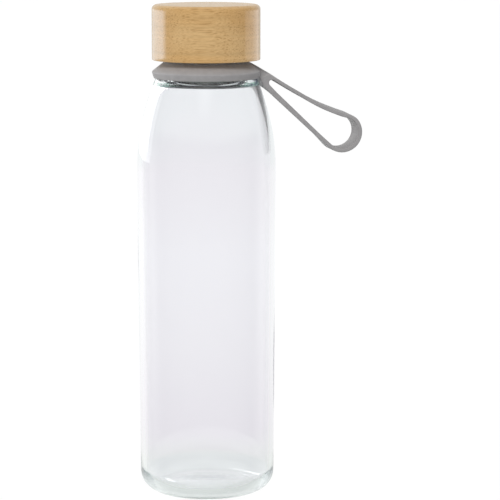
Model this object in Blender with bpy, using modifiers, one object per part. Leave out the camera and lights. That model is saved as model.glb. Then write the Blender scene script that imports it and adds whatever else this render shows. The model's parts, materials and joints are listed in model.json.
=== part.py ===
"""Glass water bottle with a screw-on bamboo lid and a silicone carry strap.

Units are metres, +Z is up. The origin is the centre of the base, on the plane the bottle
stands on, and the carry strap points along +X. Every turned piece is a section in the XZ
plane, swept once round the Z axis.
"""

import math

import bmesh
import bpy

MM = 0.001
GAP = 0.3 * MM  # clearance between neighbouring pieces

TURN_STEPS = 64  # facets round a full turn

# Glass bottle, outside
HEEL_RADIUS = 9.0 * MM
SIDE_RADIUS_AT_HEEL = 31.5 * MM
BODY_RADIUS = 32.5 * MM
SHOULDER_START_Z = 152.0 * MM
SHOULDER_ARC_RADIUS = 108.0 * MM
SEAT_START_Z = 195.2 * MM  # where the strap collar's seat begins
SEAT_TOP_HEADING = math.radians(140.0)  # slope of the seat between its two rounds
SEAT_CONVEX_RADIUS = 7.0 * MM
SEAT_CONCAVE_RADIUS = 6.0 * MM
NECK_RADIUS = 18.0 * MM
RIM_Z = 219.6 * MM
RIM_ROUND = 1.0 * MM

# Glass bottle, inside
WALL = 2.4 * MM
NECK_WALL = 2.8 * MM
FLOOR_THICKNESS = 5.5 * MM
INNER_HEEL_RADIUS = 6.5 * MM

# Screw thread, right-handed, one start
THREAD_LEAD = 4.2 * MM
THREAD_TURNS = 1.5
THREAD_START_Z = 207.2 * MM
THREAD_FADE_TURNS = 0.1
NECK_BEAD_RADIUS = 0.9 * MM
NECK_BEAD_PATH_RADIUS = 18.15 * MM
LID_BEAD_RADIUS = 0.8 * MM
LID_BEAD_PATH_RADIUS = 19.5 * MM
LID_BEAD_DROP = 1.6 * MM  # how far the lid's bead runs below the neck's
BEAD_POINTS_PER_TURN = 32

# Bamboo lid
LID_RADIUS = 25.23 * MM
LID_BOTTOM_Z = 203.75 * MM
LID_HEIGHT = 25.52 * MM
LID_TOP_ROUND = 1.7 * MM
LID_BOTTOM_ROUND = 0.6 * MM
LID_RECESS_RADIUS = 21.5 * MM
LID_RECESS_DEPTH = 20.25 * MM

# Threaded insert glued into the lid
INSERT_BOTTOM_Z = LID_BOTTOM_Z + 0.5 * MM
INSERT_TOP_Z = LID_BOTTOM_Z + LID_RECESS_DEPTH - GAP
INSERT_BORE_RADIUS = 19.5 * MM
INSERT_PLATE = 2.0 * MM

# Seal gasket between the rim and the insert
GASKET_THICKNESS = 1.5 * MM
GASKET_INNER_RADIUS = 14.6 * MM
GASKET_OUTER_RADIUS = 19.2 * MM

# Strap collar, a cone washer on the seat under the lid
COLLAR_LOW_EDGE = (23.95 * MM, 195.0 * MM)
COLLAR_OUTER_EDGE = (25.36 * MM, 198.3 * MM)
COLLAR_TOP_EDGE = (18.75 * MM, 203.35 * MM)

# Strap loop, a ribbon bent into a teardrop in the XZ plane
LOOP_WIDTH = 14.0 * MM
LOOP_ROOT_CENTRE = (28.4 * MM, 193.5 * MM)  # the axis the loop swings on
LOOP_ROOT_RADIUS = 3.4 * MM
LOOP_HOLE_ROOT_CENTRE = (30.0 * MM, 192.5 * MM)
LOOP_HOLE_ROOT_RADIUS = 1.6 * MM
LOOP_TIP_CENTRE = (63.5 * MM, 169.3 * MM)
LOOP_TIP_RADIUS = 9.5 * MM
LOOP_THICKNESS = 1.9 * MM
LOOP_SAG_RADIUS = 150.0 * MM  # the upper strand sags towards the hole

# Tab on the collar that holds the loop's root
TAB_INNER_X = 22.4 * MM
TAB_ARC_START = math.radians(146.0)
TAB_ARC_END = math.radians(168.0)


# ---------------------------------------------------------------- outlines


def arc(centre, radius, start, end, steps):
    """Points on an arc, from the start angle to the end angle."""
    angles = [start + (end - start) * i / steps for i in range(steps + 1)]
    return [(centre[0] + radius * math.cos(a), centre[1] + radius * math.sin(a)) for a in angles]


def walk_arc(point, heading, radius, turn, steps):
    """Points after point on an arc that starts along heading and turns by turn, left positive."""
    side = math.copysign(1.0, turn)
    centre = (point[0] - side * radius * math.sin(heading),
              point[1] + side * radius * math.cos(heading))
    start = heading - side * math.pi / 2
    return arc(centre, radius, start, start + turn, steps)[1:]


def shoulder_angle(z):
    """Angle on the shoulder's arc at a height."""
    return math.asin((z - SHOULDER_START_Z) / SHOULDER_ARC_RADIUS)


def shoulder_centre():
    return (BODY_RADIUS - SHOULDER_ARC_RADIUS, SHOULDER_START_Z)


def seat_outline(offset):
    """The collar's seat on the glass, from the shoulder up to the neck, moved out by offset."""
    angle = shoulder_angle(SEAT_START_Z)
    start = arc(shoulder_centre(), SHOULDER_ARC_RADIUS + offset, angle, angle, 1)[0]
    heading = angle + math.pi / 2
    points = [start]
    points += walk_arc(start, heading, SEAT_CONVEX_RADIUS + offset, SEAT_TOP_HEADING - heading, 4)
    # The straight part ends where the concave round brings the outline to the neck's radius.
    round_radius = SEAT_CONCAVE_RADIUS - offset
    round_width = round_radius * (1 - math.sin(SEAT_TOP_HEADING))
    reach = points[-1][0] - (NECK_RADIUS + offset) - round_width
    length = reach / -math.cos(SEAT_TOP_HEADING)
    points.append((points[-1][0] + length * math.cos(SEAT_TOP_HEADING),
                   points[-1][1] + length * math.sin(SEAT_TOP_HEADING)))
    points += walk_arc(points[-1], SEAT_TOP_HEADING, round_radius,
                       math.pi / 2 - SEAT_TOP_HEADING, 4)
    return points


def bottle_section():
    """The glass from the inside of the floor, up the inner wall, over the rim and down outside."""
    outside = [(0.0, 0.0)]
    heel_centre = (SIDE_RADIUS_AT_HEEL - HEEL_RADIUS, HEEL_RADIUS)
    outside += arc(heel_centre, HEEL_RADIUS, -math.pi / 2, 0.0, 6)
    outside += arc(shoulder_centre(), SHOULDER_ARC_RADIUS, 0.0, shoulder_angle(SEAT_START_Z), 7)
    outside += seat_outline(0.0)[1:]
    rim_centre = (NECK_RADIUS - RIM_ROUND, RIM_Z - RIM_ROUND)
    outside += arc(rim_centre, RIM_ROUND, 0.0, math.pi / 2, 2)

    inner_heel_centre = (SIDE_RADIUS_AT_HEEL - WALL - INNER_HEEL_RADIUS,
                         FLOOR_THICKNESS + INNER_HEEL_RADIUS)
    inside = [(0.0, FLOOR_THICKNESS)]
    inside += arc(inner_heel_centre, INNER_HEEL_RADIUS, -math.pi / 2, 0.0, 4)
    inside += arc(shoulder_centre(), SHOULDER_ARC_RADIUS - WALL, 0.0,
                  shoulder_angle(SEAT_START_Z), 6)
    bore_radius = NECK_RADIUS - NECK_WALL
    seat_top_z = seat_outline(0.0)[-1][1]
    inside.append((bore_radius + 0.6 * NECK_WALL, seat_top_z - NECK_WALL))
    inside.append((bore_radius, seat_top_z))
    bore_rim_centre = (bore_radius + RIM_ROUND, RIM_Z - RIM_ROUND)
    inside += arc(bore_rim_centre, RIM_ROUND, math.pi, math.pi / 2, 2)
    return inside + outside[::-1]


def lid_section():
    """The bamboo lid: a solid round with a recess turned into its underside."""
    low, high = 0.0, LID_HEIGHT
    points = [(0.0, high)]
    points += arc((LID_RADIUS - LID_TOP_ROUND, high - LID_TOP_ROUND), LID_TOP_ROUND,
                  math.pi / 2, 0.0, 5)
    points += arc((LID_RADIUS - LID_BOTTOM_ROUND, low + LID_BOTTOM_ROUND), LID_BOTTOM_ROUND,
                  0.0, -math.pi / 2, 2)
    points += [(LID_RECESS_RADIUS, low),
               (LID_RECESS_RADIUS, LID_RECESS_DEPTH),
               (0.0, LID_RECESS_DEPTH)]
    return points


def insert_section():
    """The insert: a cup that opens downwards, with its heights from its own lower edge."""
    height = INSERT_TOP_Z - INSERT_BOTTOM_Z
    outer = LID_RECESS_RADIUS - GAP
    return [(0.0, height),
            (outer, height),
            (outer, 0.0),
            (INSERT_BORE_RADIUS, 0.0),
            (INSERT_BORE_RADIUS, height - INSERT_PLATE),
            (0.0, height - INSERT_PLATE)]


def gasket_section():
    return [(GASKET_OUTER_RADIUS, GASKET_THICKNESS),
            (GASKET_OUTER_RADIUS, 0.0),
            (GASKET_INNER_RADIUS, 0.0),
            (GASKET_INNER_RADIUS, GASKET_THICKNESS)]


def collar_section():
    """The cone washer, from its top edge down its outside and back up along the glass."""
    inner = [point for point in seat_outline(GAP)
             if COLLAR_LOW_EDGE[1] + GAP < point[1] < COLLAR_TOP_EDGE[1] - GAP]
    return [COLLAR_TOP_EDGE, COLLAR_OUTER_EDGE, COLLAR_LOW_EDGE] + inner


def tangent_arc_centre(first, first_radius, second, second_radius, radius):
    """Centre of an arc that touches two circles from outside, on the side of +Z."""
    from_first = radius + first_radius
    from_second = radius + second_radius
    dx, dz = second[0] - first[0], second[1] - first[1]
    span = math.hypot(dx, dz)
    along = (from_first ** 2 - from_second ** 2 + span ** 2) / (2 * span)
    across = math.sqrt(from_first ** 2 - along ** 2)
    return (first[0] + (along * dx - across * dz) / span,
            first[1] + (along * dz + across * dx) / span)


def teardrop_outline(root, root_radius, tip, tip_radius, sag_radius):
    """A closed outline round two circles: a sagging edge above them and a straight one below."""
    sag = tangent_arc_centre(root, root_radius, tip, tip_radius, sag_radius)
    root_top = math.atan2(sag[1] - root[1], sag[0] - root[0])
    tip_top = math.atan2(sag[1] - tip[1], sag[0] - tip[0])
    dx, dz = tip[0] - root[0], tip[1] - root[1]
    lean = math.asin((tip_radius - root_radius) / math.hypot(dx, dz))
    below = math.atan2(dz, dx) - math.pi / 2 - lean

    points = arc(root, root_radius, 2 * math.pi + below, root_top, 12)
    points += arc(sag, sag_radius, root_top - math.pi, tip_top - math.pi, 8)[1:]
    points += arc(tip, tip_radius, tip_top, below, 18)[1:]
    return points


def tab_outline():
    """The tab's section: its outer end is hollowed round the loop's root."""
    hollow = arc(LOOP_ROOT_CENTRE, LOOP_ROOT_RADIUS + GAP, TAB_ARC_START, TAB_ARC_END, 4)
    top = (TAB_INNER_X, COLLAR_OUTER_EDGE[1] + 1.2 * MM)
    shelf = (COLLAR_OUTER_EDGE[0] - 0.6 * MM, COLLAR_OUTER_EDGE[1] - 0.2 * MM)
    bottom = (TAB_INNER_X, COLLAR_OUTER_EDGE[1] - 0.6 * MM)
    return [top, shelf] + hollow + [bottom]


# ---------------------------------------------------------------- objects


def clear_scene():
    for obj in list(bpy.data.objects):
        bpy.data.objects.remove(obj, do_unlink=True)


def new_collection(name):
    collection = bpy.data.collections.new(name)
    bpy.context.scene.collection.children.link(collection)
    return collection


def material(name, colour, roughness, metallic=0.0, transmission=0.0, ior=1.45):
    mat = bpy.data.materials.new(name)
    mat.use_nodes = True
    shader = mat.node_tree.nodes["Principled BSDF"]
    shader.inputs["Base Color"].default_value = (*colour, 1.0)
    shader.inputs["Roughness"].default_value = roughness
    shader.inputs["Metallic"].default_value = metallic
    shader.inputs["Transmission Weight"].default_value = transmission
    shader.inputs["IOR"].default_value = ior
    return mat


def link_mesh(name, mesh, collection, finish):
    obj = bpy.data.objects.new(name, mesh)
    collection.objects.link(obj)
    mesh.materials.append(finish)
    return obj


def turned(name, section, closed, collection, finish):
    """A section in the XZ plane swept once round Z. A closed section makes a ring."""
    mesh = bpy.data.meshes.new(name)
    edges = [(i, i + 1) for i in range(len(section) - 1)]
    if closed:
        edges.append((len(section) - 1, 0))
    mesh.from_pydata([(x, 0.0, z) for x, z in section], edges, [])
    obj = link_mesh(name, mesh, collection, finish)
    screw = obj.modifiers.new("turn", "SCREW")
    screw.axis = "Z"
    screw.angle = 2 * math.pi
    screw.steps = TURN_STEPS
    screw.render_steps = TURN_STEPS
    screw.use_merge_vertices = True
    screw.merge_threshold = 0.01 * MM
    screw.use_smooth_shade = True
    return obj


def mesh_from_curve(name, curve, location, collection, finish):
    """The curve's swept or filled shape as a mesh with its caps welded on."""
    source = bpy.data.objects.new(name + "_curve", curve)
    source.location = location
    collection.objects.link(source)
    bpy.context.view_layer.update()
    evaluated = source.evaluated_get(bpy.context.evaluated_depsgraph_get())
    mesh = bpy.data.meshes.new_from_object(evaluated)
    matrix = source.matrix_world.copy()
    bpy.data.objects.remove(source, do_unlink=True)

    shape = bmesh.new()
    shape.from_mesh(mesh)
    bmesh.ops.remove_doubles(shape, verts=shape.verts, dist=0.001 * MM)
    shape.to_mesh(mesh)
    shape.free()

    mesh.name = name
    mesh.materials.clear()
    obj = link_mesh(name, mesh, collection, finish)
    obj.matrix_world = matrix
    return obj


def plate(name, outlines, width, location, collection, finish):
    """Flat outlines in the XZ plane given the width along Y. Later outlines are holes."""
    curve = bpy.data.curves.new(name, "CURVE")
    curve.dimensions = "2D"
    curve.fill_mode = "BOTH"
    curve.extrude = width / 2
    for outline in outlines:
        spline = curve.splines.new("POLY")
        spline.points.add(len(outline) - 1)
        spline.use_cyclic_u = True
        for point, (x, z) in zip(spline.points, outline):
            point.co = (x - location[0], z - location[2], 0.0, 1.0)
    obj = mesh_from_curve(name, curve, (0.0, 0.0, 0.0), collection, finish)
    # The curve lies in XY: stand it up so that its Y becomes Z.
    for vertex in obj.data.vertices:
        x, y, z = vertex.co
        vertex.co = (x, -z, y)
    obj.location = location
    return obj


def thread_bead(name, path_radius, bead_radius, start_z, sink, collection, finish):
    """A round bead on a helix. Its ends move by sink, into the wall that carries it."""
    curve = bpy.data.curves.new(name, "CURVE")
    curve.dimensions = "3D"
    curve.bevel_depth = bead_radius
    curve.bevel_resolution = 2
    curve.use_fill_caps = True
    count = int(THREAD_TURNS * BEAD_POINTS_PER_TURN) + 1
    spline = curve.splines.new("POLY")
    spline.points.add(count - 1)
    for index, point in enumerate(spline.points):
        turns = THREAD_TURNS * index / (count - 1)
        from_end = min(turns, THREAD_TURNS - turns)
        fade = max(0.0, 1.0 - from_end / THREAD_FADE_TURNS)
        radius = path_radius + sink * fade
        angle = 2 * math.pi * turns
        point.co = (radius * math.cos(angle), radius * math.sin(angle),
                    start_z + THREAD_LEAD * turns, 1.0)
    return mesh_from_curve(name, curve, (0.0, 0.0, 0.0), collection, finish)


def boolean(obj, tool, operation):
    modifier = obj.modifiers.new(operation.lower(), "BOOLEAN")
    modifier.operation = operation
    modifier.solver = "EXACT"
    modifier.object = tool
    tool.hide_render = True
    tool.display_type = "WIRE"


def place(obj, origin, parent=None):
    """Put an object's origin at a world position, also under a parent that is only moved."""
    obj.parent = parent
    parent_origin = parent["origin"] if parent else (0.0, 0.0, 0.0)
    obj.location = [origin[i] - parent_origin[i] for i in range(3)]
    obj["origin"] = origin


# ---------------------------------------------------------------- pieces


def build_bottle(parts, cutters, glass):
    bottle = turned("glass_bottle", bottle_section(), False, parts, glass)
    bead = thread_bead("neck_thread", NECK_BEAD_PATH_RADIUS, NECK_BEAD_RADIUS, THREAD_START_Z,
                       -1.3 * MM, cutters, glass)
    boolean(bottle, bead, "UNION")
    place(bottle, (0.0, 0.0, 0.0))
    return bottle


def build_gasket(parts, silicone, bottle):
    gasket = turned("seal_gasket", gasket_section(), True, parts, silicone)
    place(gasket, (0.0, 0.0, RIM_Z + GAP), bottle)
    return gasket


def build_lid(parts, bamboo, gasket):
    lid = turned("bamboo_lid", lid_section(), False, parts, bamboo)
    place(lid, (0.0, 0.0, LID_BOTTOM_Z), gasket)
    return lid


def build_insert(parts, cutters, plastic, lid):
    insert = turned("lid_thread_insert", insert_section(), False, parts, plastic)
    place(insert, (0.0, 0.0, INSERT_BOTTOM_Z), lid)
    bead = thread_bead("lid_thread", LID_BEAD_PATH_RADIUS, LID_BEAD_RADIUS,
                       THREAD_START_Z - LID_BEAD_DROP, 0.85 * MM, cutters, plastic)
    boolean(insert, bead, "UNION")
    return insert


def build_collar(parts, cutters, silicone, bottle):
    """The cone washer with the loop's tab, hollowed where the loop's root turns."""
    collar = turned("strap_collar", collar_section(), True, parts, silicone)
    place(collar, (0.0, 0.0, 0.0), bottle)
    tab = plate("collar_tab", [tab_outline()], LOOP_WIDTH, (0.0, 0.0, 0.0), cutters, silicone)
    boolean(collar, tab, "UNION")
    hollow = arc(LOOP_ROOT_CENTRE, LOOP_ROOT_RADIUS + GAP, 0.0, 2 * math.pi, 48)[:-1]
    socket = plate("root_socket", [hollow], LOOP_WIDTH + 2 * GAP, (0.0, 0.0, 0.0), cutters,
                   silicone)
    boolean(collar, socket, "DIFFERENCE")
    return collar


def build_loop(parts, silicone, collar):
    outer = teardrop_outline(LOOP_ROOT_CENTRE, LOOP_ROOT_RADIUS,
                             LOOP_TIP_CENTRE, LOOP_TIP_RADIUS, LOOP_SAG_RADIUS)
    hole = teardrop_outline(LOOP_HOLE_ROOT_CENTRE, LOOP_HOLE_ROOT_RADIUS,
                            LOOP_TIP_CENTRE, LOOP_TIP_RADIUS - LOOP_THICKNESS,
                            LOOP_SAG_RADIUS + LOOP_THICKNESS)
    origin = (LOOP_ROOT_CENTRE[0], 0.0, LOOP_ROOT_CENTRE[1])
    loop = plate("strap_loop", [outer, hole], LOOP_WIDTH, origin, parts, silicone)
    place(loop, origin, collar)
    return loop


def main():
    clear_scene()
    parts = new_collection("glass_water_bottle")
    cutters = new_collection("cutters")

    glass = material("clear_glass", (0.90, 0.94, 0.94), 0.02, transmission=1.0, ior=1.5)
    bamboo = material("bamboo", (0.62, 0.43, 0.21), 0.45)
    plastic = material("lid_plastic", (0.80, 0.80, 0.78), 0.4)
    silicone = material("grey_silicone", (0.30, 0.29, 0.30), 0.6)
    seal = material("seal_silicone", (0.78, 0.78, 0.76), 0.5)

    bottle = build_bottle(parts, cutters, glass)
    gasket = build_gasket(parts, seal, bottle)
    lid = build_lid(parts, bamboo, gasket)
    build_insert(parts, cutters, plastic, lid)
    collar = build_collar(parts, cutters, silicone, bottle)
    build_loop(parts, silicone, collar)


main()
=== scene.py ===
"""Looks of the glass water bottle: fine meshes and procedural materials round the CAD frame.

Lengths are in metres, written as millimetres times MM. A turned piece is a section, a list of
(radius, height) points that runs down its outer side, swept round the bottle's axis.
"""

import json
import math

import bmesh
import bpy
import numpy as np
from mathutils import Matrix, Vector


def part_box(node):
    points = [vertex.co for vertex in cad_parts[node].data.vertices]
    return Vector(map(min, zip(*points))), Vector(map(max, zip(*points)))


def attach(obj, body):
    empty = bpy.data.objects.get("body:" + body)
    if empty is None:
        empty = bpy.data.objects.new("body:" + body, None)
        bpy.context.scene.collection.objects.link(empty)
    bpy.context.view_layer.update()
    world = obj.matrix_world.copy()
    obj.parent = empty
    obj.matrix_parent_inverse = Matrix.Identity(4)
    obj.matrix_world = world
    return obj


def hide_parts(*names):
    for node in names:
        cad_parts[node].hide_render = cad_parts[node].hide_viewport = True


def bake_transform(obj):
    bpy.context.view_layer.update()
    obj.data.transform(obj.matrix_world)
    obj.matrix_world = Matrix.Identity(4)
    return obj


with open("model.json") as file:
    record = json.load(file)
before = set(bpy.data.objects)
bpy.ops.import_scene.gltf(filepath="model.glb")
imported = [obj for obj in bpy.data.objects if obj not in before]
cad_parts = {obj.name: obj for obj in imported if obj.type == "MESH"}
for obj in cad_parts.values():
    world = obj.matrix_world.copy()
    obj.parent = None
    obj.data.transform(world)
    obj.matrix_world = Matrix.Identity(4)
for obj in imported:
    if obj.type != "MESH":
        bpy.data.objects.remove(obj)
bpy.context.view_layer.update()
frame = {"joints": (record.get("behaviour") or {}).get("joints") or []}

MM = 0.001
TURN = 2 * math.pi

# ---------------------------------------------------------------- places read from the frame

GLASS_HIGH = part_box("glass_bottle")[1]
LID_LOW, LID_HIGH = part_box("bamboo_lid")
INSERT_LOW, INSERT_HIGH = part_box("lid_thread_insert")
GASKET_LOW, GASKET_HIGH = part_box("seal_gasket")
LOOP_LOW, LOOP_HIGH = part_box("strap_loop")
JOINTS = {joint["name"]: joint for joint in frame["joints"]}
LOOP_PIVOT = Vector(JOINTS["loop_swing"]["pos_m"])

BODY_RADIUS = GLASS_HIGH.x
RIM_Z = GLASS_HIGH.z
LID_RADIUS = LID_HIGH.x
LOOP_WIDTH = LOOP_HIGH.y - LOOP_LOW.y

# ---------------------------------------------------------------- the design's own sizes

# Glass, outside
HEEL_RADIUS = 9.0 * MM
SIDE_RADIUS_AT_HEEL = 31.5 * MM
SHOULDER_START_Z = 152.0 * MM
SHOULDER_ARC_RADIUS = 108.0 * MM
SEAT_START_Z = 195.2 * MM
SEAT_TOP_HEADING = math.radians(140.0)
SEAT_CONVEX_RADIUS = 7.0 * MM
SEAT_CONCAVE_RADIUS = 6.0 * MM
NECK_RADIUS = 18.0 * MM
RIM_ROUND = 1.1 * MM

# Glass, inside
WALL = 2.4 * MM
NECK_WALL = 2.8 * MM
FLOOR_Z = 3.2 * MM
INNER_HEEL_RADIUS = 8.0 * MM
FLOOR_CROWN = 0.9 * MM  # how much higher the floor is in its middle
NECK_ROOT_Z = 191.8 * MM  # where the inner wall breaks inwards to the bore
NECK_ROOT_HEADING = math.radians(132.0)
NECK_ROOT_HEIGHT = 7.5 * MM
WALL_WANDER = 0.015 * MM  # blown glass: the inner wall wanders a little, most of all at the neck
WALL_WANDER_START = (14.0 * MM, 30.0 * MM)
NECK_WANDER = 0.10 * MM
NECK_WANDER_START = (188.0 * MM, 194.0 * MM)
NECK_WANDER_END = (200.0 * MM, 206.0 * MM)

# Glass, base
KNURL_COUNT = 90
KNURL_HEIGHT = 0.10 * MM
KNURL_INNER_RADIUS = 21.0 * MM
KNURL_OUTER_RADIUS = 24.5 * MM
KNURL_TOP_Z = 2.0 * MM
PUSH_UP_RADIUS = 19.5 * MM
PUSH_UP_HEIGHT = 0.9 * MM
UNDERSIDE_TOP_Z = 1.1 * MM  # the mould leaves the glass frosted up to here
UNDERSIDE_ROUGHNESS = 0.22

# Thread, right-handed
THREAD_LEAD = 4.2 * MM
THREAD_TURNS = 1.5
THREAD_START_Z = 207.2 * MM
THREAD_FADE_TURNS = 0.08
NECK_THREAD_HEIGHT = 1.05 * MM
NECK_THREAD_HALF_WIDTH = 1.15 * MM
LID_THREAD_HEIGHT = 0.8 * MM
LID_THREAD_HALF_WIDTH = 1.0 * MM
LID_THREAD_DROP = 1.6 * MM

# Lid, insert and gasket
LID_TOP_ROUND = 2.2 * MM
LID_BOTTOM_ROUND = 0.35 * MM
LID_RECESS_RADIUS = 21.5 * MM
LID_RECESS_TOP_Z = INSERT_HIGH.z + 0.3 * MM
LID_RECESS_ROUND = 0.4 * MM
INSERT_BORE_RADIUS = 19.5 * MM
INSERT_PLATE = 2.0 * MM
INSERT_ROUND = 0.5 * MM
GASKET_WIDTH = 4.6 * MM
GASKET_ROUND = 0.4 * MM

# Bamboo
GRAIN_TURN = math.radians(14.4)
BAMBOO_LIGHT = (0.95, 0.638, 0.298)
BAMBOO_MIDDLE = (0.86, 0.528, 0.210)
BAMBOO_DARK = (0.50, 0.25, 0.070)
STREAK_SHARE = 0.26

# Other materials
GLASS_COLOUR = (0.977, 0.970, 0.986, 1)
GLASS_INDEX = 1.5
GLASS_TINT = (0.55, 0.85, 0.76, 1)
GLASS_TINT_DENSITY = 3.0
GLASS_SHADOW = (0.93, 0.95, 0.95, 1)
SILICONE_DARK = (0.452, 0.440, 0.442)
SILICONE_LIGHT = (0.504, 0.491, 0.493)
PLASTIC_DARK = (0.74, 0.74, 0.70)
PLASTIC_LIGHT = (0.80, 0.80, 0.77)
SEAL_DARK = (0.72, 0.72, 0.69)
SEAL_LIGHT = (0.78, 0.78, 0.75)

# Strap
COLLAR_GAP = 0.3 * MM
COLLAR_LOW_EDGE = (24.12 * MM, 194.55 * MM)
COLLAR_OUTER_EDGE = (25.36 * MM, 198.3 * MM)
COLLAR_TOP_EDGE = (18.6 * MM, 203.55 * MM)
COLLAR_TOP_ROUND = 0.2 * MM
COLLAR_OUTER_ROUND = 0.7 * MM
STRAP_EDGE_ROUND = 0.35 * MM
TAB_OUTLINE = [  # mm: x, z, and how much wider the tab is there than the loop, to each side
    (19.9, 202.6, -4.0), (22.6, 201.0, -0.8), (25.9, 199.0, 0.3), (29.5, 196.85, 0.0),
    (30.2, 196.3, 0.0), (29.2, 195.0, 0.0), (27.6, 193.2, 0.0), (27.2, 191.2, 0.0),
    (25.9, 191.2, 0.1), (24.6, 193.9, 0.2), (24.0, 195.1, -0.4), (21.0, 199.0, -2.8)]
LOOP_ROOT_CENTRE = (LOOP_PIVOT.x, LOOP_PIVOT.z)
LOOP_ROOT_RADIUS = 3.4 * MM
LOOP_HOLE_ROOT_CENTRE = (29.8 * MM, 192.95 * MM)
LOOP_HOLE_ROOT_RADIUS = 1.35 * MM
LOOP_TIP_RADIUS = 9.5 * MM
LOOP_TIP_CENTRE = (LOOP_HIGH.x - LOOP_TIP_RADIUS + 0.35 * MM,
                   LOOP_LOW.z + LOOP_TIP_RADIUS - 0.25 * MM)
LOOP_THICKNESS = 1.9 * MM
LOOP_SAG_RADIUS = 150.0 * MM
STRAP_VOXEL = 0.24 * MM
STRAP_SMOOTHING = 6

# Slack in the strap's strands: how far they lean and hang, and between which distances from the
# root each effect fades in or out
LOWER_LEAN = 0.85 * MM
LOWER_LIFT = 0.35 * MM
UPPER_LEAN = 0.42 * MM
UPPER_HANG = 0.42 * MM
SLACK_START = (-2.0 * MM, 7.0 * MM)
LOWER_SLACK_END = (33.0 * MM, 46.0 * MM)
UPPER_SLACK_END = (37.0 * MM, 47.0 * MM)
UPPER_SLACK_TURN = (12.0 * MM, 30.0 * MM)
STRAND_SIDE = (-1.0 * MM, 2.0 * MM)

# Camera
VIEW_AZIMUTH = math.radians(12.0)  # the strap points this far away from the picture plane
VIEW_DISTANCE = 1116.5 * MM
VIEW_HEIGHT = 285.1 * MM
VIEW_SHIFT = 20.34 * MM
VIEW_PITCH = math.radians(8.70)
SENSOR_WIDTH = 36.0
LENS = 173.06

# Studio: colours of the white set and where its dim side ends (see studio_glow)
DOME_LEVEL = 0.42  # the even light that matte pieces get
DIM_COLOURS = [  # (vertical part of the ray's direction, colour of the dim side)
    (-0.34, (0.60, 0.66, 0.64)), (-0.25, (0.03, 0.02, 0.10)), (0.60, (0.03, 0.03, 0.08)),
    (0.80, (0.40, 0.42, 0.45))]
SIDE_LEVELS = [  # (part of the ray's direction that points away from the camera, share of light)
    (0.0, 0.0), (0.3, 0.40), (0.6, 0.86), (0.85, 0.95), (0.925, 0.935),
    (0.955, 0.91), (0.978, 0.93), (0.988, 1.0)]
SIDE_TILT = 0.08  # how fast the backdrop darkens towards the camera's right
STEEP_DOWN = 0.26  # rays that fall or rise faster than these count as looking past the bottle
STEEP_UP = 0.62
STEEP_GAIN = 6.0
GLOW_AIM = (-0.03, 0.5, -0.866)  # camera space: behind and above the camera
GLOW_LEVELS = [(0.955, 0.0), (0.985, 0.35), (1.0, 0.6)]  # (closeness to that aim, light added)
BACKDROP_TINTS = [  # (vertical part of the ray's direction, colour met there)
    (-0.70, (0.69, 0.735, 0.71)),
    (-0.35, (0.900, 0.945, 0.920)),
    (-0.245, (0.922, 0.950, 0.918)),
    (-0.225, (0.960, 0.950, 0.965)),
    (-0.190, (1.018, 1.022, 1.024)),
    (-0.155, (1.048, 1.059, 1.060)),
    (-0.120, (1.010, 1.007, 1.013)),
    (-0.085, (0.955, 0.985, 0.980)),
]
FLOOR_RADIUS = 8.0
FLOOR_COLUMNS = 64
GLASS_BOUNCES = 256  # with fewer, rays trapped in the heel turn it black
SHADOW_BOUNCES = 32

# Lamps: name, angle in degrees from the camera, low edge, high edge, width, radiance
LAMP_DISTANCE = 0.6
KEY_DISTANCE = 1.2
KEY = ("key", -14, 0.85, 1.40, 0.50, 11.5)
STRAP_FILL = ("strap_fill", -112, 0.13, 0.33, 0.30, 5.0)
BASE_GLINT = ("base_glint", -165, 0.18, 0.70, 0.08, 3.5)
RIGHT_STRIP = ("right_strip", 118, 0.12, 0.24, 0.62, 1.15)
RIGHT_STRIP_COLOUR = (1.06, 0.97, 0.94)
LEFT_STRIP_SHAPE = (0.13, 0.24, 0.055)  # low edge, high edge, width
LEFT_STRIP_COLOUR = (0.80, 0.95, 1.12)
LEFT_STRIPS = [  # angle, radiance
    (-93.1, 1.2), (-98.3, 3.0), (-103.5, 4.2), (-108.7, 3.7), (-113.9, 3.2), (-119.1, 2.7),
    (-124.3, 2.2), (-129.5, 1.8), (-134.7, 1.4), (-139.9, 1.1), (-145.1, 0.9), (-150.3, 0.7)]
LEFT_WINDOWS = [
    ("window_edge", -105.5, 0.155, 0.60, 0.07, 1.2),
    ("window_near", -113.0, 0.155, 0.60, 0.06, 2.4),
    ("window_far", -135.5, 0.155, 0.60, 0.43, 3.6),
    ("window_low", -132.0, 0.12, 0.155, 0.62, 1.6)]


# ---------------------------------------------------------------- outlines


def arc(centre, radius, start, end, steps):
    """Points on an arc, from the start angle to the end angle."""
    angles = [start + (end - start) * i / steps for i in range(steps + 1)]
    return [(centre[0] + radius * math.cos(a), centre[1] + radius * math.sin(a)) for a in angles]


def line(start, end, steps):
    """Points on a line, without its start."""
    shares = [i / steps for i in range(1, steps + 1)]
    return [(start[0] + (end[0] - start[0]) * s, start[1] + (end[1] - start[1]) * s)
            for s in shares]


def walk_arc(point, heading, radius, turn, steps):
    """Points after point on an arc that starts along heading and turns by turn, left positive."""
    side = math.copysign(1.0, turn)
    centre = (point[0] - side * radius * math.sin(heading),
              point[1] + side * radius * math.cos(heading))
    start = heading - side * math.pi / 2
    return arc(centre, radius, start, start + turn, steps)[1:]


def shoulder_angle(z):
    return math.asin((z - SHOULDER_START_Z) / SHOULDER_ARC_RADIUS)


def shoulder_arc(offset, steps):
    """The shoulder from the body up to the collar's seat, moved out by offset."""
    centre = (BODY_RADIUS - SHOULDER_ARC_RADIUS, SHOULDER_START_Z)
    return arc(centre, SHOULDER_ARC_RADIUS + offset, 0.0, shoulder_angle(SEAT_START_Z), steps)


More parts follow.
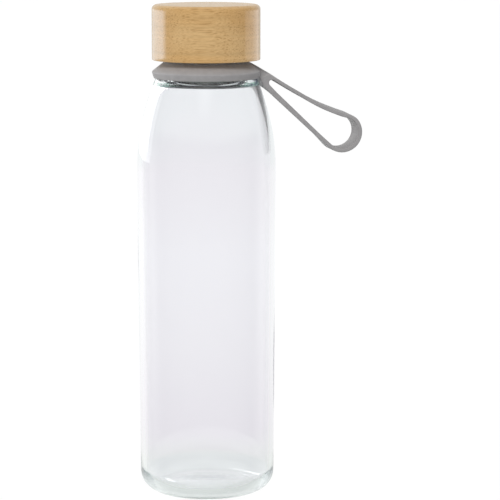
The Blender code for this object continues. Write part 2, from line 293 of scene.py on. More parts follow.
def seat_outline(offset, steps):
    """The collar's seat on the glass, from the shoulder up to the neck, moved out by offset."""
    start = shoulder_arc(offset, 1)[-1]
    heading = shoulder_angle(SEAT_START_Z) + math.pi / 2
    points = [start]
    points += walk_arc(start, heading, SEAT_CONVEX_RADIUS + offset,
                       SEAT_TOP_HEADING - heading, steps)
    round_radius = SEAT_CONCAVE_RADIUS - offset
    round_width = round_radius * (1 - math.sin(SEAT_TOP_HEADING))
    length = ((points[-1][0] - (NECK_RADIUS + offset) - round_width)
              / -math.cos(SEAT_TOP_HEADING))
    end = (points[-1][0] + length * math.cos(SEAT_TOP_HEADING),
           points[-1][1] + length * math.sin(SEAT_TOP_HEADING))
    points += line(points[-1], end, 2)
    points += walk_arc(end, SEAT_TOP_HEADING, round_radius, math.pi / 2 - SEAT_TOP_HEADING, steps)
    return points


def tangent_arc_centre(first, first_radius, second, second_radius, radius):
    """Centre of an arc that touches two circles from outside, on the side of +Z."""
    from_first = radius + first_radius
    from_second = radius + second_radius
    dx, dz = second[0] - first[0], second[1] - first[1]
    span = math.hypot(dx, dz)
    along = (from_first ** 2 - from_second ** 2 + span ** 2) / (2 * span)
    across = math.sqrt(from_first ** 2 - along ** 2)
    return (first[0] + (along * dx - across * dz) / span,
            first[1] + (along * dz + across * dx) / span)


def teardrop_outline(root, root_radius, tip, tip_radius, sag_radius, steps):
    """A closed outline round two circles: a sagging edge above them and a straight one below.

    steps is the number of points on the root, the sagging edge, the tip and the straight edge.
    """
    sag = tangent_arc_centre(root, root_radius, tip, tip_radius, sag_radius)
    root_top = math.atan2(sag[1] - root[1], sag[0] - root[0])
    tip_top = math.atan2(sag[1] - tip[1], sag[0] - tip[0])
    dx, dz = tip[0] - root[0], tip[1] - root[1]
    lean = math.asin((tip_radius - root_radius) / math.hypot(dx, dz))
    below = math.atan2(dz, dx) - math.pi / 2 - lean

    points = arc(root, root_radius, TURN + below, root_top, steps[0])
    points += arc(sag, sag_radius, root_top - math.pi, tip_top - math.pi, steps[1])[1:]
    points += arc(tip, tip_radius, tip_top, below, steps[2])[1:]
    points += line(points[-1], points[0], steps[3])[:-1]
    return points


# ---------------------------------------------------------------- meshes


def new_object(name, vertices, faces):
    mesh = bpy.data.meshes.new(name)
    mesh.from_pydata([tuple(v) for v in vertices], [], faces)
    mesh.validate()
    mesh.shade_smooth()
    obj = bpy.data.objects.new(name, mesh)
    bpy.context.scene.collection.objects.link(obj)
    return obj


def turned(name, section, columns, shape=None, ring=False):
    """A section swept round Z. shape(radius, height, angle) may move the points of each row.

    A section that starts and ends on the axis makes a solid, and ring joins its two ends.
    """
    section = np.array(section)
    angles = np.arange(columns) * TURN / columns
    radius = np.repeat(section[:, :1], columns, axis=1)
    height = np.repeat(section[:, 1:], columns, axis=1)
    angle = np.repeat(angles[None, :], len(section), axis=0)
    if shape is not None:
        radius, height = shape(radius, height, angle)

    poles = [] if ring else [0, len(section) - 1]
    rows = [i for i in range(len(section)) if i not in poles]
    vertices = np.stack([radius[rows] * np.cos(angle[rows]),
                         radius[rows] * np.sin(angle[rows]),
                         height[rows]], axis=-1).reshape(-1, 3).tolist()
    following = [(k + 1) % columns for k in range(columns)]

    def quads(upper, lower):
        return [(upper * columns + k, lower * columns + k,
                 lower * columns + following[k], upper * columns + following[k])
                for k in range(columns)]

    faces = [face for row in range(len(rows) - 1) for face in quads(row, row + 1)]
    if ring:
        faces += quads(len(rows) - 1, 0)
    else:
        first, last = len(vertices), len(vertices) + 1
        vertices += [(0.0, 0.0, height[0, 0]), (0.0, 0.0, height[-1, 0])]
        bottom = (len(rows) - 1) * columns
        faces += [(first, k, following[k]) for k in range(columns)]
        faces += [(bottom + k, last, bottom + following[k]) for k in range(columns)]
    return new_object(name, vertices, faces)


def dress(piece, material, slot, *nodes):
    """Finish a piece, and let it stand for these CAD nodes."""
    piece.data.materials.clear()
    piece.data.materials.append(material)
    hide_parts(*nodes)


def round_corner(before, corner, after, radius, steps=5):
    """Points on an arc that replaces one corner of a section."""
    corner = Vector(corner)
    back = (Vector(before) - corner).normalized()
    ahead = (Vector(after) - corner).normalized()
    half = back.angle(ahead) / 2
    cut = radius / math.tan(half)
    centre = corner + (back + ahead).normalized() * radius / math.sin(half)
    first = corner + back * cut - centre
    sweep = first.angle_signed(corner + ahead * cut - centre)
    return [tuple(centre + Matrix.Rotation(-sweep * step / steps, 2) @ first)
            for step in range(steps + 1)]


def smooth_step(values, low, high):
    share = np.clip((values - low) / (high - low), 0.0, 1.0)
    return share * share * (3 - 2 * share)


def thread_rise(height, angle, start_z, rise, half_width):
    """How far the thread's rounded bead stands up at each point of a wall."""
    result = np.zeros_like(height)
    for lap in range(int(THREAD_TURNS) + 1):
        turns = angle / TURN + lap
        inside = turns <= THREAD_TURNS
        from_end = np.minimum(turns, THREAD_TURNS - turns)
        fade = smooth_step(from_end, 0.0, THREAD_FADE_TURNS)
        away = (height - start_z - THREAD_LEAD * turns) / half_width
        bead = np.cos(np.clip(away, -1.0, 1.0) * math.pi / 2).clip(0.0) ** 1.5
        result = np.maximum(result, np.where(inside, bead * fade * rise, 0.0))
    return result


# ---------------------------------------------------------------- glass


def glass_section():
    """The inner wall from the floor's centre up, over the rim, and down the outside."""
    outside = [(0.0, PUSH_UP_HEIGHT)]
    outside += [(PUSH_UP_RADIUS * s, PUSH_UP_HEIGHT * (1 - s ** 2) ** 2)
                for s in (0.15, 0.3, 0.45, 0.6, 0.75, 0.85, 0.93, 1.0)]
    heel_centre = (SIDE_RADIUS_AT_HEEL - HEEL_RADIUS, HEEL_RADIUS)
    outside += line(outside[-1], (heel_centre[0], 0.0), 6)
    outside += arc(heel_centre, HEEL_RADIUS, -math.pi / 2, 0.0, 28)[1:]
    outside += line(outside[-1], (BODY_RADIUS, SHOULDER_START_Z), 24)
    outside += shoulder_arc(0.0, 16)[1:]
    outside += seat_outline(0.0, 5)[1:]
    outside += line(outside[-1], (NECK_RADIUS, RIM_Z - RIM_ROUND), 52)
    outside += arc((NECK_RADIUS - RIM_ROUND, RIM_Z - RIM_ROUND), RIM_ROUND,
                   0.0, math.pi / 2, 5)[1:]

    heel_centre = (SIDE_RADIUS_AT_HEEL - WALL - INNER_HEEL_RADIUS, FLOOR_Z + INNER_HEEL_RADIUS)
    inside = [(0.0, FLOOR_Z + FLOOR_CROWN)]
    inside += [(heel_centre[0] * s, FLOOR_Z + FLOOR_CROWN * (1 - s ** 2))
               for s in (0.2, 0.4, 0.6, 0.8, 0.9)]
    inside += arc(heel_centre, INNER_HEEL_RADIUS, -math.pi / 2, 0.0, 20)
    inside += line(inside[-1], (BODY_RADIUS - WALL, SHOULDER_START_Z), 20)
    inside += [point for point in shoulder_arc(-WALL, 60)[1:] if point[1] < NECK_ROOT_Z]
    bore = NECK_RADIUS - NECK_WALL
    inside += bend(inside[-1], NECK_ROOT_HEADING, (bore, NECK_ROOT_Z + NECK_ROOT_HEIGHT),
                   math.pi / 2, 16)
    inside += line(inside[-1], (bore, RIM_Z - RIM_ROUND), 6)
    inside += arc((bore + RIM_ROUND, RIM_Z - RIM_ROUND), RIM_ROUND, math.pi, math.pi / 2, 5)[1:]
    return inside + outside[::-1]


def bend(start, start_heading, end, end_heading, steps):
    """Points after start on a smooth curve with the given headings at its ends."""
    reach = math.dist(start, end) / 3
    first = (start[0] + reach * math.cos(start_heading), start[1] + reach * math.sin(start_heading))
    second = (end[0] - reach * math.cos(end_heading), end[1] - reach * math.sin(end_heading))
    points = []
    for step in range(1, steps + 1):
        t = step / steps
        weights = ((1 - t) ** 3, 3 * t * (1 - t) ** 2, 3 * t * t * (1 - t), t ** 3)
        corners = (start, first, second, end)
        points.append(tuple(sum(w * c[i] for w, c in zip(weights, corners)) for i in (0, 1)))
    return points


def build_glass():
    """The hollow bottle, with its thread, its knurled base and a slightly uneven inner wall."""
    section = glass_section()
    inner_rows = section.index(max(section, key=lambda point: point[1]))

    def shape(radius, height, angle):
        radius, height = radius.copy(), height.copy()
        rows = np.arange(len(section))[:, None]
        outer = rows > inner_rows
        wander = (np.sin(3 * angle + 0.7 + 40 * height) + 0.6 * np.sin(5 * angle - 31 * height)
                  + 0.5 * np.sin(2 * angle + 55 * height))
        at_neck = smooth_step(height, *NECK_WANDER_START) * (
            1 - smooth_step(height, *NECK_WANDER_END))
        amount = (WALL_WANDER * smooth_step(height, *WALL_WANDER_START)
                  + NECK_WANDER * at_neck)
        radius += np.where(outer, 0.0, wander * amount)
        # Thread on the neck's outside.
        on_neck = outer & (height > SEAT_START_Z) & (height < RIM_Z - RIM_ROUND)
        rise = thread_rise(height, angle, THREAD_START_Z, NECK_THREAD_HEIGHT,
                           NECK_THREAD_HALF_WIDTH)
        radius += np.where(on_neck, rise, 0.0)
        # Knurls round the bearing edge, pressed into the base from its plane.
        middle = (KNURL_INNER_RADIUS + KNURL_OUTER_RADIUS) / 2
        reach = (KNURL_OUTER_RADIUS - KNURL_INNER_RADIUS) / 2
        band = np.clip(1 - ((radius - middle) / reach) ** 2, 0.0, 1.0)
        fading = 0.55 + 0.45 * np.sin(2 * angle + 2.2) * np.sin(5 * angle + 0.4)
        knurl = (0.5 - 0.5 * np.cos(KNURL_COUNT * angle)) * fading
        on_base = outer & (height < KNURL_TOP_Z)
        height += np.where(on_base, band * knurl * KNURL_HEIGHT, 0.0)
        return radius, height

    glass = turned("bottle_glass", section, KNURL_COUNT * 4, shape)
    dress(glass, glass_material(), "clear_glass", "glass_bottle")
    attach(glass, "bottle")
    return glass


# ---------------------------------------------------------------- lid


def build_lid():
    """The bamboo round with soft edges and the recess for the insert."""
    top, bottom = LID_HIGH.z, LID_LOW.z
    section = [(0.0, top)]
    section += [(LID_RADIUS * s, top) for s in (0.3, 0.6, 0.8)]
    section += arc((LID_RADIUS - LID_TOP_ROUND, top - LID_TOP_ROUND), LID_TOP_ROUND,
                   math.pi / 2, 0.0, 10)
    section += line(section[-1], (LID_RADIUS, bottom + LID_BOTTOM_ROUND), 10)
    section += arc((LID_RADIUS - LID_BOTTOM_ROUND, bottom + LID_BOTTOM_ROUND),
                   LID_BOTTOM_ROUND, 0.0, -math.pi / 2, 5)[1:]
    section += arc((LID_RECESS_RADIUS + LID_RECESS_ROUND, bottom + LID_RECESS_ROUND),
                   LID_RECESS_ROUND, -math.pi / 2, -math.pi, 4)
    section += line(section[-1], (LID_RECESS_RADIUS, LID_RECESS_TOP_Z), 3)
    section += [(LID_RECESS_RADIUS * s, LID_RECESS_TOP_Z) for s in (0.66, 0.33)]
    section += [(0.0, LID_RECESS_TOP_Z)]
    lid = turned("lid_bamboo", section, 192)
    dress(lid, bamboo_material(), "bamboo", "bamboo_lid")
    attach(lid, "cap")
    return lid


def build_insert():
    """The cup with rounded lips and the lid's thread in its bore."""
    outer = INSERT_HIGH.x
    top, bottom = INSERT_HIGH.z, INSERT_LOW.z
    ceiling = top - INSERT_PLATE
    lip = INSERT_ROUND
    section = [(0.0, top), (outer * 0.5, top)]
    section += arc((outer - lip, top - lip), lip, math.pi / 2, 0.0, 4)
    section += line(section[-1], (outer, bottom + lip), 6)
    section += arc((outer - lip, bottom + lip), lip, 0.0, -math.pi / 2, 4)[1:]
    section += arc((INSERT_BORE_RADIUS + lip, bottom + lip), lip, -math.pi / 2, -math.pi, 4)
    section += line(section[-1], (INSERT_BORE_RADIUS, ceiling - lip), 44)
    section += arc((INSERT_BORE_RADIUS - lip, ceiling - lip), lip, 0.0, math.pi / 2, 4)[1:]
    section += [(INSERT_BORE_RADIUS * 0.5, ceiling), (0.0, ceiling)]

    def shape(radius, height, angle):
        in_bore = np.abs(radius - INSERT_BORE_RADIUS) < 0.1 * MM
        rise = thread_rise(height, angle, THREAD_START_Z - LID_THREAD_DROP,
                           LID_THREAD_HEIGHT, LID_THREAD_HALF_WIDTH)
        return radius - np.where(in_bore, rise, 0.0), height

    insert = turned("lid_insert", section, 160, shape)
    dress(insert, plastic_material(), "lid_plastic", "lid_thread_insert")
    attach(insert, "cap")


def build_gasket():
    """The seal ring that the insert presses on the rim."""
    inner, outer = GASKET_HIGH.x - GASKET_WIDTH, GASKET_HIGH.x
    corners = [(outer, GASKET_HIGH.z), (outer, GASKET_LOW.z),
               (inner, GASKET_LOW.z), (inner, GASKET_HIGH.z)]
    section = []
    for k in range(4):
        section += round_corner(corners[k - 1], corners[k], corners[(k + 1) % 4], GASKET_ROUND)
    gasket = turned("lid_gasket", section, 128, ring=True)
    dress(gasket, seal_material(), "seal_silicone", "seal_gasket")
    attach(gasket, "gasket")


# ---------------------------------------------------------------- strap


def ribbon(name, rings):
    """A band round a hole. rings is a list of (y, outer outline, hole outline)."""
    count = len(rings[0][1])
    vertices = []
    for y, outer, hole in rings:
        vertices += [(x, y, z) for x, z in outer]
        vertices += [(x, y, z) for x, z in hole]
    faces = []
    for k in range(count):
        n = (k + 1) % count
        faces.append((k, n, count + n, count + k))
        for ring in range(len(rings) - 1):
            outer, hole = 2 * count * ring, 2 * count * ring + count
            next_outer, next_hole = outer + 2 * count, hole + 2 * count
            faces.append((next_outer + k, next_outer + n, outer + n, outer + k))
            faces.append((hole + k, hole + n, next_hole + n, next_hole + k))
        outer, hole = 2 * count * (len(rings) - 1), 2 * count * (len(rings) - 1) + count
        faces.append((hole + k, hole + n, outer + n, outer + k))
    return new_object(name, vertices, faces)


def prism(name, outline, half_widths):
    """A solid with this outline in XZ. Its half width is given at each point."""
    count = len(outline)
    near = [(x, -w, z) for (x, z), w in zip(outline, half_widths)]
    far = [(x, w, z) for (x, z), w in zip(outline, half_widths)]
    faces = [tuple(range(count)), tuple(reversed(range(count, 2 * count)))]
    for k in range(count):
        n = (k + 1) % count
        faces.append((k, count + k, count + n, n))
    return new_object(name, near + far, faces)


def collar_ring():
    """The cone-shaped washer, whose inside follows the glass seat."""
    inner = [point for point in seat_outline(COLLAR_GAP, 6)
             if COLLAR_LOW_EDGE[1] + COLLAR_GAP < point[1] < COLLAR_TOP_EDGE[1] - COLLAR_GAP]
    section = round_corner(inner[-1], COLLAR_TOP_EDGE, COLLAR_OUTER_EDGE, COLLAR_TOP_ROUND)
    section += round_corner(COLLAR_TOP_EDGE, COLLAR_OUTER_EDGE, COLLAR_LOW_EDGE,
                            COLLAR_OUTER_ROUND)
    section += round_corner(COLLAR_OUTER_EDGE, COLLAR_LOW_EDGE, inner[0], STRAP_EDGE_ROUND)
    return turned("collar_ring", section + inner, 240, ring=True)


def strap_tab():
    """The wedge that joins the collar's edge to both strands of the loop."""
    outline = [(x * MM, z * MM) for x, z, _ in TAB_OUTLINE]
    tab = prism("strap_tab", outline, [LOOP_WIDTH / 2 + flare * MM for *_, flare in TAB_OUTLINE])
    bevel = tab.modifiers.new("soft_edges", "BEVEL")
    bevel.width = STRAP_EDGE_ROUND
    bevel.segments = 3
    apply_modifiers(tab)
    return tab


def loop_outlines(inset):
    """Outer and hole outline of the loop, each moved into the material by inset."""
    steps = (14, 34, 40, 34)
    outer = teardrop_outline(LOOP_ROOT_CENTRE, LOOP_ROOT_RADIUS - inset, LOOP_TIP_CENTRE,
                             LOOP_TIP_RADIUS - inset, LOOP_SAG_RADIUS + inset, steps)
    hole = teardrop_outline(LOOP_HOLE_ROOT_CENTRE, LOOP_HOLE_ROOT_RADIUS + inset,
                            LOOP_TIP_CENTRE, LOOP_TIP_RADIUS - LOOP_THICKNESS + inset,
                            LOOP_SAG_RADIUS + LOOP_THICKNESS - inset, steps)
    return outer, hole


def strap_loop():
    """The teardrop ribbon, with its edges rounded over six rings."""
    half, edge = LOOP_WIDTH / 2, STRAP_EDGE_ROUND
    rings = []
    for level, inset in ((-half, edge), (-half + 0.3 * edge, 0.3 * edge), (-half + edge, 0.0),
                         (half - edge, 0.0), (half - 0.3 * edge, 0.3 * edge), (half, edge)):
        rings.append((level, *loop_outlines(inset)))
    return ribbon("loop_ribbon", rings)


def twist_loop(strap):
    """The slack in the moulded loop: both strands lean a little, and the upper one hangs."""
    root, tip = Vector(LOOP_ROOT_CENTRE), Vector(LOOP_TIP_CENTRE)
    along = (tip - root).normalized()
    across = Vector((-along.y, along.x))
    count = len(strap.data.vertices)
    points = np.empty(count * 3)
    strap.data.vertices.foreach_get("co", points)
    points = points.reshape(-1, 3)
    from_root = points[:, [0, 2]] - np.array(root)
    reach = from_root @ np.array(along)
    side = from_root @ np.array(across)
    begun = smooth_step(reach, *SLACK_START)
    lower = (begun * (1 - smooth_step(reach, *LOWER_SLACK_END))
             * smooth_step(-side, *STRAND_SIDE))
    upper = (begun * (1 - smooth_step(reach, *UPPER_SLACK_END))
             * smooth_step(side, *STRAND_SIDE))
    outer_half = smooth_step(reach, *UPPER_SLACK_TURN)
    lean = LOWER_LEAN * lower + UPPER_LEAN * upper * (0.5 + 0.5 * outer_half)
    lift = LOWER_LIFT * lower - UPPER_HANG * upper * (1.5 * outer_half - 0.5)
    points[:, 2] += lean * points[:, 1] / (LOOP_WIDTH / 2) + lift
    strap.data.vertices.foreach_set("co", points.reshape(-1))
    strap.data.update()


def join(objects, name):
    """One object that holds copies of all the given meshes, which are removed."""
    shape = bmesh.new()
    for obj in objects:
        shape.from_mesh(obj.data)
        bpy.data.objects.remove(obj, do_unlink=True)
    mesh = bpy.data.meshes.new(name)
    shape.to_mesh(mesh)
    shape.free()
    obj = bpy.data.objects.new(name, mesh)
    bpy.context.scene.collection.objects.link(obj)
    return obj


def apply_modifiers(obj):
    bpy.context.view_layer.update()
    evaluated = obj.evaluated_get(bpy.context.evaluated_depsgraph_get())
    mesh = bpy.data.meshes.new_from_object(evaluated)
    obj.modifiers.clear()
    obj.data = mesh


def build_strap():
    """Collar, tab and loop as one moulding: merged, then softened at every edge."""
    strap = join([collar_ring(), strap_tab(), strap_loop()], "carry_strap")
    remesh = strap.modifiers.new("merge", "REMESH")
    remesh.mode = "VOXEL"
    remesh.voxel_size = STRAP_VOXEL
    smooth = strap.modifiers.new("soften", "SMOOTH")
    smooth.factor = 0.5
    smooth.iterations = STRAP_SMOOTHING
    apply_modifiers(strap)
    twist_loop(strap)
    strap.data.shade_smooth()
    dress(strap, silicone_material(), "grey_silicone", "strap_collar", "strap_loop")
    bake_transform(strap)
    return strap


# ---------------------------------------------------------------- materials


class Nodes:
    """Short calls for building a node tree."""

    def __init__(self, tree):
        self.nodes, self.links = tree.nodes, tree.links

    def put(self, socket, value):
        """Set an input to a value, or feed it from an output."""
        if isinstance(value, bpy.types.NodeSocket):
            self.links.new(value, socket)
        else:
            socket.default_value = value

    def parts(self, vector):
        """Outputs X, Y and Z of a vector."""
        node = self.nodes.new("ShaderNodeSeparateXYZ")
        self.put(node.inputs[0], vector)
        return node.outputs

    def noise(self, vector, scale, detail=2.0, roughness=0.5):
        node = self.nodes.new("ShaderNodeTexNoise")
        self.put(node.inputs["Vector"], vector)
        node.inputs["Scale"].default_value = scale
        node.inputs["Detail"].default_value = detail
        node.inputs["Roughness"].default_value = roughness
        return node.outputs["Fac"]

    def cells(self, vector, scale):
        """Distance to the middle of the nearest cell of a Voronoi texture."""
        node = self.nodes.new("ShaderNodeTexVoronoi")
        self.put(node.inputs["Vector"], vector)
        node.inputs["Scale"].default_value = scale
        return node.outputs["Distance"]

    def ramp(self, value, stops):
        """Colour ramp. stops is a list of (position from 0 to 1, colour or grey)."""
        node = self.nodes.new("ShaderNodeValToRGB")
        self.put(node.inputs["Fac"], value)
        elements = node.color_ramp.elements
        while len(elements) < len(stops):
            elements.new(0.5)
        for element, (position, colour) in zip(elements, stops):
            element.position = position
            element.color = (*colour, 1) if isinstance(colour, tuple) else (colour,) * 3 + (1,)
        return node.outputs["Color"]

    def wide_ramp(self, value, stops):
        """Colour ramp whose positions may have any range."""
        low, high = stops[0][0], stops[-1][0]
        share = self.math("DIVIDE", self.math("SUBTRACT", value, low), high - low)
        return self.ramp(share, [((stop - low) / (high - low), colour) for stop, colour in stops])

    def math(self, operation, first, second=0.0):
        node = self.nodes.new("ShaderNodeMath")
        node.operation = operation
        self.put(node.inputs[0], first)
        self.put(node.inputs[1], second)
        return node.outputs[0]

    def mix(self, share, first, second, blend="MIX"):
        node = self.nodes.new("ShaderNodeMix")
        node.data_type = "RGBA"
        node.blend_type = blend
        self.put(node.inputs[0], share)
        self.put(node.inputs[6], first)
        self.put(node.inputs[7], second)
        return node.outputs[2]


class Finish(Nodes):
    """A new material with one principled shader. Its coordinates are the piece's own."""

    def __init__(self, name):
        self.material = bpy.data.materials.new(name)
        self.material.use_nodes = True
        super().__init__(self.material.node_tree)
        self.shader = self.nodes["Principled BSDF"]
        self.output = self.nodes["Material Output"]
        self.coordinates = self.nodes.new("ShaderNodeTexCoord").outputs["Object"]

    def set(self, **inputs):
        for name, value in inputs.items():
            self.put(self.shader.inputs[name.replace("_", " ")], value)

    def mapped(self, scale, rotation=(0, 0, 0), vector=None):
        node = self.nodes.new("ShaderNodeMapping")
        self.put(node.inputs["Vector"], vector or self.coordinates)
        node.inputs["Scale"].default_value = scale
        node.inputs["Rotation"].default_value = rotation
        return node.outputs["Vector"]

    def bump(self, height, distance, strength=1.0):
        node = self.nodes.new("ShaderNodeBump")
        node.inputs["Strength"].default_value = strength
        node.inputs["Distance"].default_value = distance
        self.put(node.inputs["Height"], height)
        self.put(self.shader.inputs["Normal"], node.outputs["Normal"])


def glass_material():
    """Clear glass, faintly green where thick, with a frosted underside.

    Lamps' light goes straight through the walls, but not through the base, where it would
    light the frosting.
    """
    tree = Finish("clear_glass")
    ripple = tree.noise(tree.mapped((1, 1, 0.35)), 60.0, 2.0)
    height = tree.parts(tree.coordinates)["Z"]
    underside = tree.math("DIVIDE", height, UNDERSIDE_TOP_Z)
    frosting = tree.ramp(underside, [(0.7, UNDERSIDE_ROUGHNESS), (1.0, 0.0)])
    tree.set(Base_Color=GLASS_COLOUR, Roughness=frosting, IOR=GLASS_INDEX,
             Transmission_Weight=1.0)
    tree.bump(ripple, 0.1 * MM, 0.25)

    passing = tree.nodes.new("ShaderNodeBsdfTransparent")
    passing.inputs["Color"].default_value = GLASS_SHADOW
    path = tree.nodes.new("ShaderNodeLightPath")
    either = tree.nodes.new("ShaderNodeMixShader")
    above_base = tree.math("GREATER_THAN", height, FLOOR_Z + INNER_HEEL_RADIUS)
    tree.put(either.inputs["Fac"],
             tree.math("MULTIPLY", path.outputs["Is Shadow Ray"], above_base))
    tree.links.new(tree.shader.outputs[0], either.inputs[1])
    tree.links.new(passing.outputs[0], either.inputs[2])
    tree.links.new(either.outputs[0], tree.output.inputs["Surface"])

    tint = tree.nodes.new("ShaderNodeVolumeAbsorption")
    tint.inputs["Color"].default_value = GLASS_TINT
    tint.inputs["Density"].default_value = GLASS_TINT_DENSITY
    tree.links.new(tint.outputs[0], tree.output.inputs["Volume"])
    return tree.material


def bamboo_material():
    """Laminated bamboo: long fibre bundles across the lid, cut to streaks and dots."""
    tree = Finish("bamboo")
    straight = tree.mapped((1, 1, 1), (0, 0, GRAIN_TURN))
    fibres = tree.mapped((0.07, 1, 1), vector=straight)
    from_bundle = tree.cells(fibres, 1350.0)
    near_bundle = tree.ramp(from_bundle, [(0.12, 1.0), (0.50, 0.0)])
    clumps = tree.noise(fibres, 380.0, 2.0)
    fine = tree.noise(fibres, 2400.0, 3.0, 0.65)
    layers = tree.noise(tree.mapped((0, 0, 1)), 430.0, 1.0)
    broad = tree.noise(tree.mapped((0.3, 1, 1), vector=straight), 60.0, 2.0)

    ground = tree.ramp(broad, [(0.35, BAMBOO_MIDDLE), (0.65, BAMBOO_LIGHT)])
    dots = tree.math("MULTIPLY", near_bundle, tree.ramp(clumps, [(0.40, 0.20), (0.60, 0.75)]))
    speckled = tree.mix(dots, ground, (*BAMBOO_DARK, 1))
    streaked = tree.mix(STREAK_SHARE, speckled,
                        tree.ramp(fine, [(0.38, BAMBOO_DARK), (0.60, BAMBOO_LIGHT)]))
    tone = tree.ramp(layers, [(0.35, 0.93), (0.65, 1.05)])
    colour = tree.mix(1.0, streaked, tone, "MULTIPLY")
    height = tree.parts(tree.coordinates)["Z"]
    from_top = tree.math("DIVIDE", tree.math("SUBTRACT", LID_HIGH.z, height), MM)
    lacquer = tree.ramp(from_top, [(0.1, 0.42), (0.5, 0.75)])
    tree.set(Base_Color=colour, Roughness=0.5, Specular_IOR_Level=0.2, Coat_Weight=lacquer,
             Coat_Roughness=0.06, Coat_IOR=1.5)
    tree.bump(tree.math("ADD", fine, from_bundle), 0.03 * MM, 0.3)
    return tree.material


def silicone_material():
    """Matte moulded silicone with a faint mottling."""
    tree = Finish("grey_silicone")
    mottle = tree.noise(tree.coordinates, 350.0, 4.0, 0.6)
    colour = tree.ramp(mottle, [(0.3, SILICONE_DARK), (0.7, SILICONE_LIGHT)])
    rough = tree.ramp(mottle, [(0.3, 0.48), (0.7, 0.62)])
    tree.set(Base_Color=colour, Roughness=rough, IOR=1.42)
    tree.bump(tree.noise(tree.coordinates, 1800.0, 2.0), 0.01 * MM, 0.25)
    return tree.material


def plastic_material():
    """Natural polypropylene with faint moulding flow."""
    tree = Finish("lid_plastic")
    flow = tree.noise(tree.mapped((1, 1, 0.3)), 120.0, 3.0)
    colour = tree.ramp(flow, [(0.3, PLASTIC_DARK), (0.7, PLASTIC_LIGHT)])
    tree.set(Base_Color=colour, Roughness=0.38, IOR=1.49)
    tree.bump(flow, 0.02 * MM, 0.3)
    return tree.material


def seal_material():
    tree = Finish("seal_silicone")
    mottle = tree.noise(tree.coordinates, 400.0, 3.0)
    colour = tree.ramp(mottle, [(0.3, SEAL_DARK), (0.7, SEAL_LIGHT)])
    tree.set(Base_Color=colour, Roughness=0.5, IOR=1.42)
    tree.bump(mottle, 0.02 * MM, 0.3)
    return tree.material


def studio_glow(tree, direction):
    """Colour of the white set along a ray, as a socket.

    Rays that look past the bottle meet the bright backdrop. Reflected rays that come back towards
    the camera meet the dim side of the set, which gives clear glass its tone and its outline.
    The set turns with the camera, like a bottle on a turntable. Matte pieces see an even dome.
    """
    turn = tree.nodes.new("ShaderNodeVectorTransform")
    turn.vector_type = "VECTOR"
    turn.convert_from = "WORLD"
    turn.convert_to = "CAMERA"
    tree.links.new(direction, turn.inputs[0])
    seen = turn.outputs[0]
    from_camera = tree.parts(seen)
    rise = tree.parts(direction)["Z"]

    down = tree.math("SUBTRACT", tree.math("MULTIPLY", rise, -1.0), STEEP_DOWN)
    up = tree.math("SUBTRACT", rise, STEEP_UP)
    steep = tree.math("MAXIMUM", tree.math("MAXIMUM", down, up), 0.0)
    past = tree.math("ADD", from_camera["Z"], tree.math("MULTIPLY", steep, STEEP_GAIN))
    light = tree.mix(tree.wide_ramp(past, SIDE_LEVELS), tree.wide_ramp(rise, DIM_COLOURS),
                     tree.wide_ramp(rise, BACKDROP_TINTS))

    tilt = tree.math("SUBTRACT", 1.0, tree.math("MULTIPLY", from_camera["X"], SIDE_TILT))
    grey = tree.nodes.new("ShaderNodeCombineXYZ")
    for socket in grey.inputs:
        tree.links.new(tilt, socket)
    light = tree.mix(1.0, light, grey.outputs[0], "MULTIPLY")

    aim = tree.nodes.new("ShaderNodeVectorMath")
    aim.operation = "DOT_PRODUCT"
    tree.links.new(seen, aim.inputs[0])
    aim.inputs[1].default_value = GLOW_AIM
    light = tree.mix(1.0, light, tree.wide_ramp(aim.outputs["Value"], GLOW_LEVELS), "ADD")

    path = tree.nodes.new("ShaderNodeLightPath")
    light = tree.mix(path.outputs["Is Diffuse Ray"], light, (DOME_LEVEL,) * 3 + (1,))
    return tree.mix(path.outputs["Is Camera Ray"], light, (1, 1, 1, 1))


def floor_material():
    tree = Finish("studio_floor")
    geometry = tree.nodes.new("ShaderNodeNewGeometry")
    along = tree.nodes.new("ShaderNodeVectorMath")
    along.operation = "SCALE"
    tree.links.new(geometry.outputs["Incoming"], along.inputs[0])
    along.inputs["Scale"].default_value = -1.0
    grain = tree.noise(tree.coordinates, 3.0)
    colour = tree.ramp(grain, [(0.3, 0.020), (0.7, 0.024)])
    tree.set(Base_Color=colour, Roughness=0.95, Specular_IOR_Level=0.0, Emission_Strength=1.0,
             Emission_Color=studio_glow(tree, along.outputs[0]))
    tree.material.cycles.emission_sampling = "NONE"
    return tree.material


# ---------------------------------------------------------------- studio

RIGHT = Vector((math.cos(VIEW_AZIMUTH), -math.sin(VIEW_AZIMUTH), 0))
FORWARD = Vector((math.sin(VIEW_AZIMUTH), math.cos(VIEW_AZIMUTH), 0))


def softbox(name, angle, low, high, width, radiance, colour=(1, 1, 1),
            distance=LAMP_DISTANCE, only_on=None):
    """An upright lamp that faces the bottle's axis, from the height low to the height high.

    angle is measured round the bottle from the camera, positive to the camera's right. only_on
    keeps the lamp's light on one piece, as flags and gobos do in a studio.
    """
    light = bpy.data.lights.new(name, "AREA")
    light.shape = "RECTANGLE"
    light.size = width
    light.size_y = high - low
    light.energy = math.pi * width * (high - low) * radiance
    light.color = colour
    lamp = bpy.data.objects.new(name, light)
    bpy.context.scene.collection.objects.link(lamp)
    turn = math.radians(angle)
    lamp.location = (RIGHT * math.sin(turn) - FORWARD * math.cos(turn)) * distance
    lamp.location.z = (low + high) / 2
    inwards = Vector((-lamp.location.x, -lamp.location.y, 0))
    lamp.rotation_euler = inwards.to_track_quat("-Z", "Y").to_euler()
    lamp.visible_camera = False
    if only_on:
        receivers = bpy.data.collections.new(name)
        receivers.objects.link(only_on)
        lamp.light_linking.receiver_collection = receivers
    return lamp


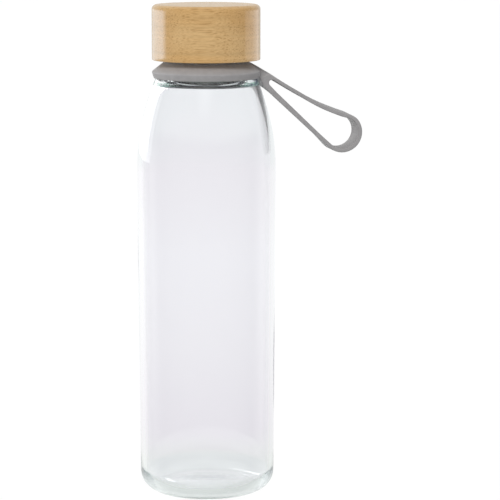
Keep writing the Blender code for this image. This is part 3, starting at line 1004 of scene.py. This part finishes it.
def build_lamps(glass, lid, strap):
    softbox(*STRAP_FILL, only_on=strap)
    # The glint is for the base. As a reflection it would wash out the shoulder's outline.
    glint = softbox(*BASE_GLINT, only_on=glass)
    glint.visible_glossy = False
    key = softbox(*KEY, distance=KEY_DISTANCE)
    key.visible_glossy = False
    key.visible_transmission = False
    for angle, radiance in LEFT_STRIPS:
        softbox(f"left_strip_{-angle}", angle, *LEFT_STRIP_SHAPE, radiance, LEFT_STRIP_COLOUR,
                only_on=lid)
    softbox(*RIGHT_STRIP, RIGHT_STRIP_COLOUR, only_on=lid)
    for window in LEFT_WINDOWS:
        lamp = softbox(*window, only_on=glass)
        lamp.visible_transmission = False


def build_world():
    world = bpy.data.worlds.new("studio")
    bpy.context.scene.world = world
    world.use_nodes = True
    world.cycles.sampling_method = "NONE"
    tree = Nodes(world.node_tree)
    coordinates = tree.nodes.new("ShaderNodeTexCoord")
    tree.links.new(studio_glow(tree, coordinates.outputs["Generated"]),
                   tree.nodes["Background"].inputs["Color"])


def build_floor():
    rim = [(FLOOR_RADIUS * math.cos(TURN * k / FLOOR_COLUMNS),
            FLOOR_RADIUS * math.sin(TURN * k / FLOOR_COLUMNS), 0.0) for k in range(FLOOR_COLUMNS)]
    floor = new_object("studio_floor", rim, [tuple(range(FLOOR_COLUMNS))])
    floor.data.materials.append(floor_material())


def build_camera():
    camera = bpy.data.objects.new("camera", bpy.data.cameras.new("camera"))
    bpy.context.scene.collection.objects.link(camera)
    camera.data.sensor_width = SENSOR_WIDTH
    camera.data.lens = LENS
    camera.location = RIGHT * VIEW_SHIFT - FORWARD * VIEW_DISTANCE
    camera.location.z = VIEW_HEIGHT
    camera.rotation_euler = (math.pi / 2 - VIEW_PITCH, 0, -VIEW_AZIMUTH)
    camera.data.clip_start = 0.01
    camera.data.clip_end = 50.0
    bpy.context.scene.camera = camera


def set_scene_options():
    """Plain colours, and enough bounces for the glass."""
    scene = bpy.context.scene
    scene.view_settings.view_transform = "Standard"
    scene.cycles.max_bounces = GLASS_BOUNCES
    scene.cycles.glossy_bounces = GLASS_BOUNCES
    scene.cycles.transmission_bounces = GLASS_BOUNCES
    scene.cycles.transparent_max_bounces = SHADOW_BOUNCES


bottle_glass = build_glass()
lid_bamboo = build_lid()
build_insert()
build_gasket()
carry_strap = build_strap()
build_world()
build_lamps(bottle_glass, lid_bamboo, carry_strap)
build_floor()
build_camera()
set_scene_options()

bpy.context.view_layer.update()
